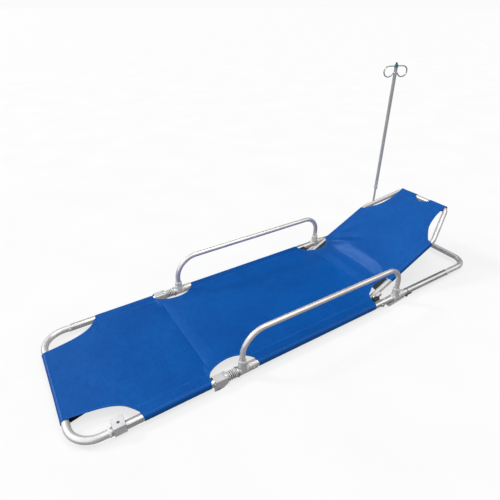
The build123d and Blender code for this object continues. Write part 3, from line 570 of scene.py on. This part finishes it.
def lift(u, y):
    """How far the cloth's upper face stands above its route: sag, creases, folds and hems."""
    edge = half_width(u)
    inside = max(0.0, edge - abs(y))
    held = 1 - scallop_weight(u)
    # the middle hangs a little between the tubes
    free = min(1.0, inside / (60 * MM))
    across = max(0.0, 1 - (y / max(edge, 1e-4)) ** 2)
    ends = smooth(u, FOOT_X + 0.12, FOLD_X) * (1 - smooth(u, along(TOP_S) - 0.12, along(TOP_S)))
    height = -SAG * across * ends
    # sharp crease over the foot fold, with the foot side dipping towards it
    reach = 95 * MM if u < FOLD_X else 40 * MM
    height -= FOLD_DIP * math.exp(-abs(u - FOLD_X) / reach) * smooth(inside, 0, 60 * MM)
    height -= FOLD_LINE * math.exp(-abs(u - FOLD_X) / (11 * MM)) * smooth(inside, 0, 40 * MM)
    second = u - (FOLD_X + 40 * MM - 0.06 * y)
    height += FOLD_ECHO * math.exp(-abs(second) / (13 * MM)) * smooth(inside, 10 * MM, 70 * MM)
    # slack where the backrest turns up: it hangs below the corner, then climbs steeply
    bow = (y / BACK_HALF_W) ** 2
    middle = along((102 - 24 * bow) * MM)
    slack = (SLACK * hill(u, middle, (48 if u < middle else 24) * MM)
             * (1 - (abs(y) / (212 * MM)) ** 3))
    height -= max(0.0, slack)
    crest = along((160 - 30 * bow) * MM)
    height += (CREST * hill(u, crest, (16 if u < crest else 34) * MM)
               * max(0.0, 1 - (abs(y) / (205 * MM)) ** 4))
    height += fold_height(u, y) * smooth(inside, 0, 22 * MM)
    # long shallow unevenness of coated cloth
    wave = (noise.noise(Vector((u * 7.5, y * 9.0, 3.1)))
            + 0.5 * noise.noise(Vector((u * 19, y * 21, 8.2))))
    height += UNEVEN * wave * free
    # ripples pulled in from each sleeve's ends
    for start, end, *_ in SLEEVES:
        for corner in (start, end):
            near = math.hypot(u - corner, abs(y) - edge)
            if near < RIPPLE_REACH:
                angle = math.atan2(edge - abs(y), u - corner)
                height += (RIPPLE * math.sin(angle * 7) * smooth(near, 0.01, 0.05)
                           * (1 - smooth(near, 0.05, RIPPLE_REACH))
                           * smooth(inside, 4 * MM, 30 * MM))
    # doubled hem along the free edges, with its stitched groove; a seam beside each sleeve
    loose = 1 - held
    height += HEM * loose * (1 - smooth(inside, 8 * MM, 9.5 * MM))
    height -= HEM_GROOVE * loose * hill(inside, HEM_SEAM_IN, 0.9 * MM)
    height -= SLEEVE_GROOVE * held * hill(inside, SLEEVE_SEAM_IN, 1.2 * MM)
    for row in STITCH_ROWS:
        height -= ROW_GROOVE * hill(u, row, 2.2 * MM) * smooth(inside, 5 * MM, 30 * MM)
    return height


def cloth_point(u, y):
    centre, _, up = route_frame(u)
    return centre + Vector((0, y, 0)) + up * lift(u, y)


# ---- meshing ------------------------------------------------------------------------------
STATION_STEP = 6 * MM         # lengthways, away from the dense places
MIN_STEP = 0.45 * MM          # stations nearer than this to the last one are left out


def spread(start, end, step, dense=()):
    """Stations from start to end about step apart, with closer ones round the dense places."""
    count = max(1, round((end - start) / step))
    stations = {round(start + (end - start) * i / count, 7) for i in range(count + 1)}
    for centre, reach, gap in dense:
        for i in range(-round(reach / gap), round(reach / gap) + 1):
            if start < centre + i * gap < end:
                stations.add(round(centre + i * gap, 7))
    ordered = sorted(stations)
    kept = [ordered[0]]
    for station in ordered[1:-1]:
        if station - kept[-1] > MIN_STEP and ordered[-1] - station > MIN_STEP:
            kept.append(station)
    return kept + [ordered[-1]]


def stations_between(start, end):
    """Lengthways stations of a cloth piece, with every sleeve end and stitch row among them."""
    breaks = {v for sleeve in SLEEVES for v in sleeve[:2]} | {along(HOLE_START_S)}
    breaks = sorted({start, end} | {v for v in breaks if start < v < end})
    # middle, reach either side and step of each dense place
    dense = [(FOLD_X, 16 * MM, 2 * MM)] + [(row, 4.5 * MM, 1.5 * MM) for row in STITCH_ROWS]
    dense += [(along(HOLE_START_S) + 4 * MM, 4 * MM, 1 * MM)]
    result = []
    for a, b in zip(breaks, breaks[1:]):
        result += spread(a, b, STATION_STEP, dense)[bool(result):]
    return result


EDGE_OFFSETS = [v * MM for v in (0, 1.2, 3, 4.8, 5.6, 6.3, 7, 8, 9.5, 12, 15, 18, 20.6, 22,
                                 23.4, 26, 31)]
INNER_ROWS = 26


def rows_between(inner, outer):
    """Crossways places from inner to outer, close together beside the outer edge."""
    shrink = min(1.0, (outer - inner) / (45 * MM))
    last = outer - EDGE_OFFSETS[-1] * shrink
    rows = [inner + (last - inner) * i / INNER_ROWS for i in range(INNER_ROWS)]
    return rows + [outer - offset * shrink for offset in reversed(EDGE_OFFSETS)]


TURN_STEP = 11.0              # degrees, round a side tube
TURN_COUNT = 22
SLANT = 7 * MM
CANVAS, THREAD, SHADE_CLOTH, CUT_EDGE = range(4)     # the cloth's material slots


def slanted(u, travel, start, end):
    """A station's place at travel past the flat limit: a sleeve's ends are cut at a slant."""
    lean = SLANT * smooth(travel, 0, 34 * MM)
    return (u + lean * (1 - smooth(u, start, start + 40 * MM))
            - lean * smooth(u, end - 40 * MM, end))


class Cloth:
    """Collects faces of one cloth piece, with each vertex's place in the flat cloth."""

    def __init__(self):
        self.mesh = bmesh.new()
        self.at = self.mesh.verts.layers.float_vector.new("cloth_at")
        self.area = 0.0

    def grid(self, points, flat, flip=False, material=CANVAS):
        """Adds a patch from rows of points; flat holds their places in the flat cloth."""
        made = []
        for row, flat_row in zip(points, flat):
            line = []
            for place, (u, y) in zip(row, flat_row):
                vertex = self.mesh.verts.new(place)
                vertex[self.at] = (u, y, 0.0)
                line.append(vertex)
            made.append(line)
        for a, b in zip(made, made[1:]):
            for i in range(len(a) - 1):
                corners = [a[i], b[i], b[i + 1], a[i + 1]]
                if flip:
                    corners.reverse()
                if len({tuple(round(c, 7) for c in v.co) for v in corners}) < 3:
                    continue
                face = self.mesh.faces.new(corners)
                face.smooth = True
                face.material_index = material
                self.area += face.calc_area()

    def sheet(self, stations):
        """The flat part, both sides of the centre line."""
        for side in (1, -1):
            places, flat = [], []
            for u in stations:
                rows = rows_between(hole_half_width(u), half_width(u))
                places.append([cloth_point(u, side * y) for y in rows])
                flat.append([(u, side * y) for y in rows])
            self.grid(places, flat, flip=side < 0)

    def side_sleeve(self, stations, sleeve):
        """The cloth goes on from the flat limit over the tube, round it and back to a seam."""
        start, end, tube_y, radius, limit = sleeve
        inside = [u for u in stations if start - TINY <= u <= end + TINY]
        if len(inside) < 2:
            return
        turns = [math.radians(90 - TURN_STEP * i) for i in range(TURN_COUNT)]
        for side in (1, -1):
            places, flat = [], []
            for u in inside:
                half_way = (tube_y - limit) * 0.5
                line = [cloth_point(u, side * limit),
                        route(slanted(u, half_way, start, end))
                        + Vector((0, side * (limit + half_way), 0))]
                flat_line = [(u, side * limit), (u, side * (limit + half_way))]
                for angle in turns:
                    travel = tube_y - limit + radius * (math.pi / 2 - angle)
                    at = slanted(u, travel, start, end)
                    centre, _, up = route_frame(at)
                    centre = centre - up * radius + Vector((0, side * tube_y, 0))
                    pinch = 1 + (0.012 * math.sin(at * 260 + angle * 2)
                                 * smooth(travel, 20 * MM, 60 * MM))
                    line.append(centre + Vector((0, side * math.cos(angle) * radius * pinch, 0))
                                + up * math.sin(angle) * radius * pinch)
                    flat_line.append((at, side * (limit + travel)))
                # back up to the seam under the sheet, where the slant is whole
                last = line[-1]
                under = (cloth_point(at, side * (limit - SLEEVE_SEAM_IN))
                         - route_frame(at)[2] * (CLOTH_T * 1.15))
                for t in (0.25, 0.5, 0.75, 1.0):
                    line.append(last.lerp(under, t))
                    flat_line.append((at, side * (limit + travel + t * (last - under).length)))
                places.append(line)
                flat.append(flat_line)
            self.grid(places, flat, flip=side < 0)

    def end_sleeve(self, u_end, radius, inner, outward, flap, flap_material):
        """Round the cross tube at either end, with a flap back under the sheet.

        outward is the way off the cloth's end, and flap is how far in the flap ends."""
        base, tangent, up = route_frame(u_end)
        away = tangent * outward
        turns = [math.radians(90 - 12.0 * i) for i in range(20)]
        shares = (0.0, 0.2, 0.4, 0.6, 0.8, 1.0)
        for side in (1, -1):
            places, flat, flap_places, flap_flat = [], [], [], []
            for y in rows_between(inner, half_width(u_end)):
                centre = base - up * radius + Vector((0, side * y, 0))
                start_lift = lift(u_end, side * y)
                line, flat_line = [], []
                for i, angle in enumerate(turns):
                    swell = radius + start_lift * (1 - i / len(turns))
                    line.append(centre + away * math.cos(angle) * swell
                                + up * math.sin(angle) * swell)
                    flat_line.append((u_end + outward * radius * (math.pi / 2 - angle), side * y))
                at = u_end - outward * flap
                under = cloth_point(at, side * y) - route_frame(at)[2] * (CLOTH_T * 1.2)
                last, last_flat = line[-1], flat_line[-1][0]
                flap_places.append([last.lerp(under, t) for t in shares])
                flap_flat.append([(last_flat + outward * t * (last - under).length, side * y)
                                  for t in shares])
                places.append(line)
                flat.append(flat_line)
            flip = (side * outward) < 0
            self.grid(places, flat, flip)
            self.grid(flap_places, flap_flat, flip, flap_material)

    def shade_strip(self, start, end):
        """A near-black strip from under the backrest's edge across to its tube: painted shade in
        the gap between the cloth and the tube.
        """
        steps = 20
        shares = (0.0, 0.25, 0.5, 0.75, 1.0)
        for side in (1, -1):
            places, flat = [], []
            for i in range(steps + 1):
                s = start + (end - start) * i / steps
                edge = half_width(along(s)) - 2 * MM
                top = cloth_point(along(s), side * edge) - BACK_UP * CLOTH_T * 1.1
                tube = back_point(s, side * (BACK_HALF_W - 8.6 * MM), 9.0 * MM)
                places.append([top.lerp(tube, t) - BACK_UP * 5 * MM * t * (1 - t) for t in shares])
                flat.append([(along(s), side * (edge + (tube - top).length * t)) for t in shares])
            self.grid(places, flat, flip=side < 0, material=SHADE_CLOTH)

    def finish(self, name):
        bmesh.ops.remove_doubles(self.mesh, verts=self.mesh.verts, dist=2e-5)
        self.mesh.normal_update()
        data = bpy.data.meshes.new(name)
        self.mesh.to_mesh(data)
        self.mesh.free()
        cloth = add_object(name, data)
        for material in (materials["canvas"], thread_material, shade_cloth_material,
                         cut_edge_material):
            data.materials.append(material)
        shell = cloth.modifiers.new("thickness", "SOLIDIFY")
        shell.thickness, shell.offset = CLOTH_T, -1.0
        shell.material_offset_rim = CUT_EDGE
        solid = evaluated_mesh(cloth)
        cloth.modifiers.clear()
        cloth.data = solid
        solid.name = name
        solid.set_sharp_from_angle(angle=math.radians(48))
        return cloth


STITCH_LENGTH = 4.6 * MM
STITCH_GAP = 2.0 * MM
THREAD_R = 0.55 * MM
THREAD_SIDES = 5
# along a stitch, its radius there and its height above the cloth, both in thread radii
STITCH_RINGS = ((0, 0.35, -0.5), (0.25, 1, 0.35), (0.75, 1, 0.35), (1, 0.35, -0.5))


def add_stitches(cloth, lines):
    """Short thread capsules sunk in the cloth along each line of (u, y) places."""
    mesh = bmesh.new()
    mesh.from_mesh(cloth.data)
    layer = mesh.verts.layers.float_vector.get("cloth_at")
    for line in lines:
        lengths = [0.0]
        for (u0, y0), (u1, y1) in zip(line, line[1:]):
            lengths.append(lengths[-1] + math.hypot(u1 - u0, y1 - y0))

        def at(distance):
            for i in range(len(line) - 1):
                if distance <= lengths[i + 1]:
                    t = (distance - lengths[i]) / max(1e-9, lengths[i + 1] - lengths[i])
                    return (line[i][0] + (line[i + 1][0] - line[i][0]) * t,
                            line[i][1] + (line[i + 1][1] - line[i][1]) * t)
            return line[-1]

        place = 0.5 * STITCH_GAP
        while place + STITCH_LENGTH < lengths[-1]:
            rings = []
            for t, size, high in STITCH_RINGS:
                u, y = at(place + STITCH_LENGTH * t)
                here = cloth_point(u, y)
                up = route_frame(u)[2]
                u2, y2 = at(place + STITCH_LENGTH * t + 0.3 * MM)
                ahead = cloth_point(u2, y2) - here
                if ahead.length < 1e-7:
                    ahead = Vector((1, 0, 0))
                across = ahead.cross(up).normalized()
                centre = here + up * THREAD_R * high
                ring = []
                for k in range(THREAD_SIDES):
                    turn = 2 * math.pi * k / THREAD_SIDES
                    spoke = across * math.cos(turn) + up * math.sin(turn)
                    vertex = mesh.verts.new(centre + spoke * THREAD_R * size)
                    vertex[layer] = (u, y, 0.0)
                    ring.append(vertex)
                rings.append(ring)
            faces = [mesh.faces.new(rings[0][::-1]), mesh.faces.new(rings[-1])]
            for a, b in zip(rings, rings[1:]):
                for k in range(THREAD_SIDES):
                    j = (k + 1) % THREAD_SIDES
                    faces.append(mesh.faces.new((a[k], a[j], b[j], b[k])))
            for face in faces:
                face.material_index = THREAD
                face.smooth = True
            place += STITCH_LENGTH + STITCH_GAP
    mesh.to_mesh(cloth.data)
    mesh.free()


SHORTEST_SEAM = 0.02


def cross_seam(u, margin):
    """A seam right across the cloth, margin in from its edges."""
    reach = half_width(u) - margin
    return [(u, reach * (1 - i / 20)) for i in range(41)]


def seam_lines(start, end):
    """Places of every seam between two stations: beside sleeves, in hems and across the bed."""
    lines = []
    for sleeve_start, sleeve_end, _, _, limit in SLEEVES:
        a, b = max(start, sleeve_start), min(end, sleeve_end)
        if b - a > SHORTEST_SEAM:
            count = round((b - a) / (8 * MM))
            for side in (1, -1):
                lines.append([(a + (b - a) * i / count, side * (limit - SLEEVE_SEAM_IN))
                              for i in range(count + 1)])
    for points in SCALLOPS:
        a, b = max(start, points[0][0]), min(end, points[-1][0])
        if b - a > SHORTEST_SEAM:
            count = round((b - a) / (3 * MM))
            stations = [a + (b - a) * (i + 1) / (count + 2) for i in range(count + 1)]
            for side in (1, -1):
                lines.append([(u, side * (half_width(u) - HEM_SEAM_IN)) for u in stations])
    lines += [cross_seam(row, 14 * MM) for row in STITCH_ROWS if start < row < end]
    top_seam = along(TOP_S) - 34 * MM
    if start < top_seam < end:
        lines.append(cross_seam(top_seam, 10 * MM))
    return lines


SPLIT_U = -36 * MM            # the two pieces meet here, edge to edge, between two joints
FOOT_FLAP = 95 * MM           # in from the foot cross tube to where its flap ends
BACK_FLAP = 30 * MM           # and from the backrest's top tube
SHADE_STRIP_START_S, SHADE_STRIP_END_S = 30 * MM, 106 * MM


def make_cloth(name, start, end, nodes):
    cloth = Cloth()
    stations = stations_between(start, end)
    cloth.sheet(stations)
    for sleeve in SLEEVES:
        cloth.side_sleeve(stations, sleeve)
    if start < FOOT_X + TINY:
        # the foot sleeve's flap is near-black: painted shade under the foot end
        cloth.end_sleeve(start, END_SLEEVE_R, 0.0, -1, FOOT_FLAP, SHADE_CLOTH)
    if end > along(TOP_S) - TINY:
        cloth.end_sleeve(end, BACK_SLEEVE_R, hole_half_width(end), 1, BACK_FLAP, CANVAS)
        cloth.shade_strip(SHADE_STRIP_START_S, SHADE_STRIP_END_S)
    piece = cloth.finish(name)
    add_stitches(piece, seam_lines(start, end))
    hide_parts(*nodes)
    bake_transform(piece)
    return piece


make_cloth("bed_canvas_foot", FOOT_X, SPLIT_U,
           ["canvas_foot"])
make_cloth("bed_canvas_head", SPLIT_U, along(TOP_S),
           ["canvas_mid", "canvas_back"])

# ---- lock springs: wire coils round the side tubes ----------------------------------------
WIRE_R = 1.6 * MM
COIL_R = 15.9 * MM
COIL_TURNS = 5.5
COIL_STEPS = 176
END_CROWDING = 0.35           # how much closer the turns lie at the ends than in the middle
# painted shade: a near-black sleeve this far out on the tube darkens the gaps between the turns
SHADE_SLEEVE_R = 14.3 * MM
SHADE_SLEEVE_SIDES, SHADE_SLEEVE_RINGS = 40, 7


def coil_mesh(name, start, length, y):
    """A coil of wire round a side tube."""
    wire = bpy.data.curves.new(name, "CURVE")
    wire.dimensions = "3D"
    wire.bevel_depth = WIRE_R
    wire.bevel_resolution = 3
    line = wire.splines.new("POLY")
    line.points.add(COIL_STEPS)
    for i in range(COIL_STEPS + 1):
        t = i / COIL_STEPS
        travel = smooth(t, 0.0, 1.0) * END_CROWDING + t * (1 - END_CROWDING)
        angle = 2 * math.pi * COIL_TURNS * t
        line.points[i].co = (start + length * travel, y + COIL_R * math.cos(angle),
                             TUBE_Z + COIL_R * math.sin(angle), 1.0)
    holder = add_object("coil_holder", wire)
    data = evaluated_mesh(holder)
    bpy.data.objects.remove(holder)
    for face in data.polygons:
        face.use_smooth = True
    return data


def add_shade_sleeve(data, start, length, y):
    """A near-black sleeve on the tube under the coils, in the mesh's second material: painted shade
    in the gaps between the turns.
    """
    shade_sleeve = bmesh.new()
    shade_sleeve.from_mesh(data)
    rings = []
    for i in range(SHADE_SLEEVE_RINGS):
        x = start + i * length / (SHADE_SLEEVE_RINGS - 1)
        turns = [2 * math.pi * k / SHADE_SLEEVE_SIDES for k in range(SHADE_SLEEVE_SIDES)]
        rings.append([shade_sleeve.verts.new((x, y + SHADE_SLEEVE_R * math.cos(turn),
                                      TUBE_Z + SHADE_SLEEVE_R * math.sin(turn))) for turn in turns])
    for a, b in zip(rings, rings[1:]):
        for k in range(SHADE_SLEEVE_SIDES):
            j = (k + 1) % SHADE_SLEEVE_SIDES
            face = shade_sleeve.faces.new((a[k], b[k], b[j], a[j]))
            face.material_index, face.smooth = 1, True
    shade_sleeve.to_mesh(data)
    shade_sleeve.free()


for side, sign in (("near", -1), ("far", 1)):
    low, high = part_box(f"lock_spring_{side}")
    coil_start = low.x + WIRE_R
    length = high.x - low.x - 2 * WIRE_R
    data = coil_mesh(f"coil_{side}", coil_start, length, sign * HALF_W)
    spring = add_object(f"lock_coil_{side}", data)
    data.materials.clear()
    data.materials.append(materials["spring_steel"])
    # the second material, near-black, is the painted shade under the coils
    data.materials.append(materials["black_ratchet"])
    add_shade_sleeve(data, coil_start, length, sign * HALF_W)
    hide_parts(f"lock_spring_{side}")
    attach(spring, "mid_frame")
    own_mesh(spring)

# ---- floor and backdrop -------------------------------------------------------------------
FLOOR_REACH = 220.0
FLOOR_DROP = 0.2 * MM         # below the stretcher's lowest point
FLOOR_GLOW = 0.72
FLOOR_TONES = ((0.21, 0.21, 0.21), (0.23, 0.23, 0.23))
DOME_R = 60.0
DOME_TONES = ((0.96, 0.96, 0.96), (0.97, 0.97, 0.97))

floor_mesh = bpy.data.meshes.new("floor")
floor_mesh.from_pydata([(-FLOOR_REACH, -FLOOR_REACH, 0), (FLOOR_REACH, -FLOOR_REACH, 0),
                        (FLOOR_REACH, FLOOR_REACH, 0), (-FLOOR_REACH, FLOOR_REACH, 0)],
                       [], [(0, 1, 2, 3)])
floor = add_object("floor", floor_mesh)
floor.location.z = cad_low.z - FLOOR_DROP
# its own glow thins the shadows, and the stretcher neither mirrors it nor is lit by it
floor_finish = Finish("floor_paper").set(Roughness=0.9, Specular_IOR_Level=0.1,
                                         Emission_Strength=FLOOR_GLOW,
                                         Emission_Color=(1.0, 1.0, 1.0, 1.0))
floor_finish.link(floor_finish.ramp(floor_finish.noise(3.0), list(zip((0.3, 0.7), FLOOR_TONES))),
                  "Base Color")
floor.visible_diffuse = False
floor.visible_glossy = False
floor_mesh.materials.append(floor_finish.material)
floor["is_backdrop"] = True

# a pale dome behind everything, which only the camera sees
dome_mesh = bpy.data.meshes.new("backdrop")
dome_shape = bmesh.new()
bmesh.ops.create_uvsphere(dome_shape, u_segments=96, v_segments=48, radius=DOME_R)
dome_shape.to_mesh(dome_mesh)
dome_shape.free()
dome = add_object("backdrop", dome_mesh)
dome_finish = Finish("backdrop_paper").set(Roughness=1.0, Specular_IOR_Level=0.0,
                                           Emission_Strength=1.0,
                                           Base_Color=(0.0, 0.0, 0.0, 1.0))
dome_finish.link(dome_finish.ramp(dome_finish.noise(0.01), list(zip((0.3, 0.7), DOME_TONES))),
                 "Emission Color")
dome_mesh.materials.append(dome_finish.material)
dome.visible_diffuse = dome.visible_glossy = False
dome.visible_shadow = dome.visible_transmission = False
dome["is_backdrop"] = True

low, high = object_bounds()
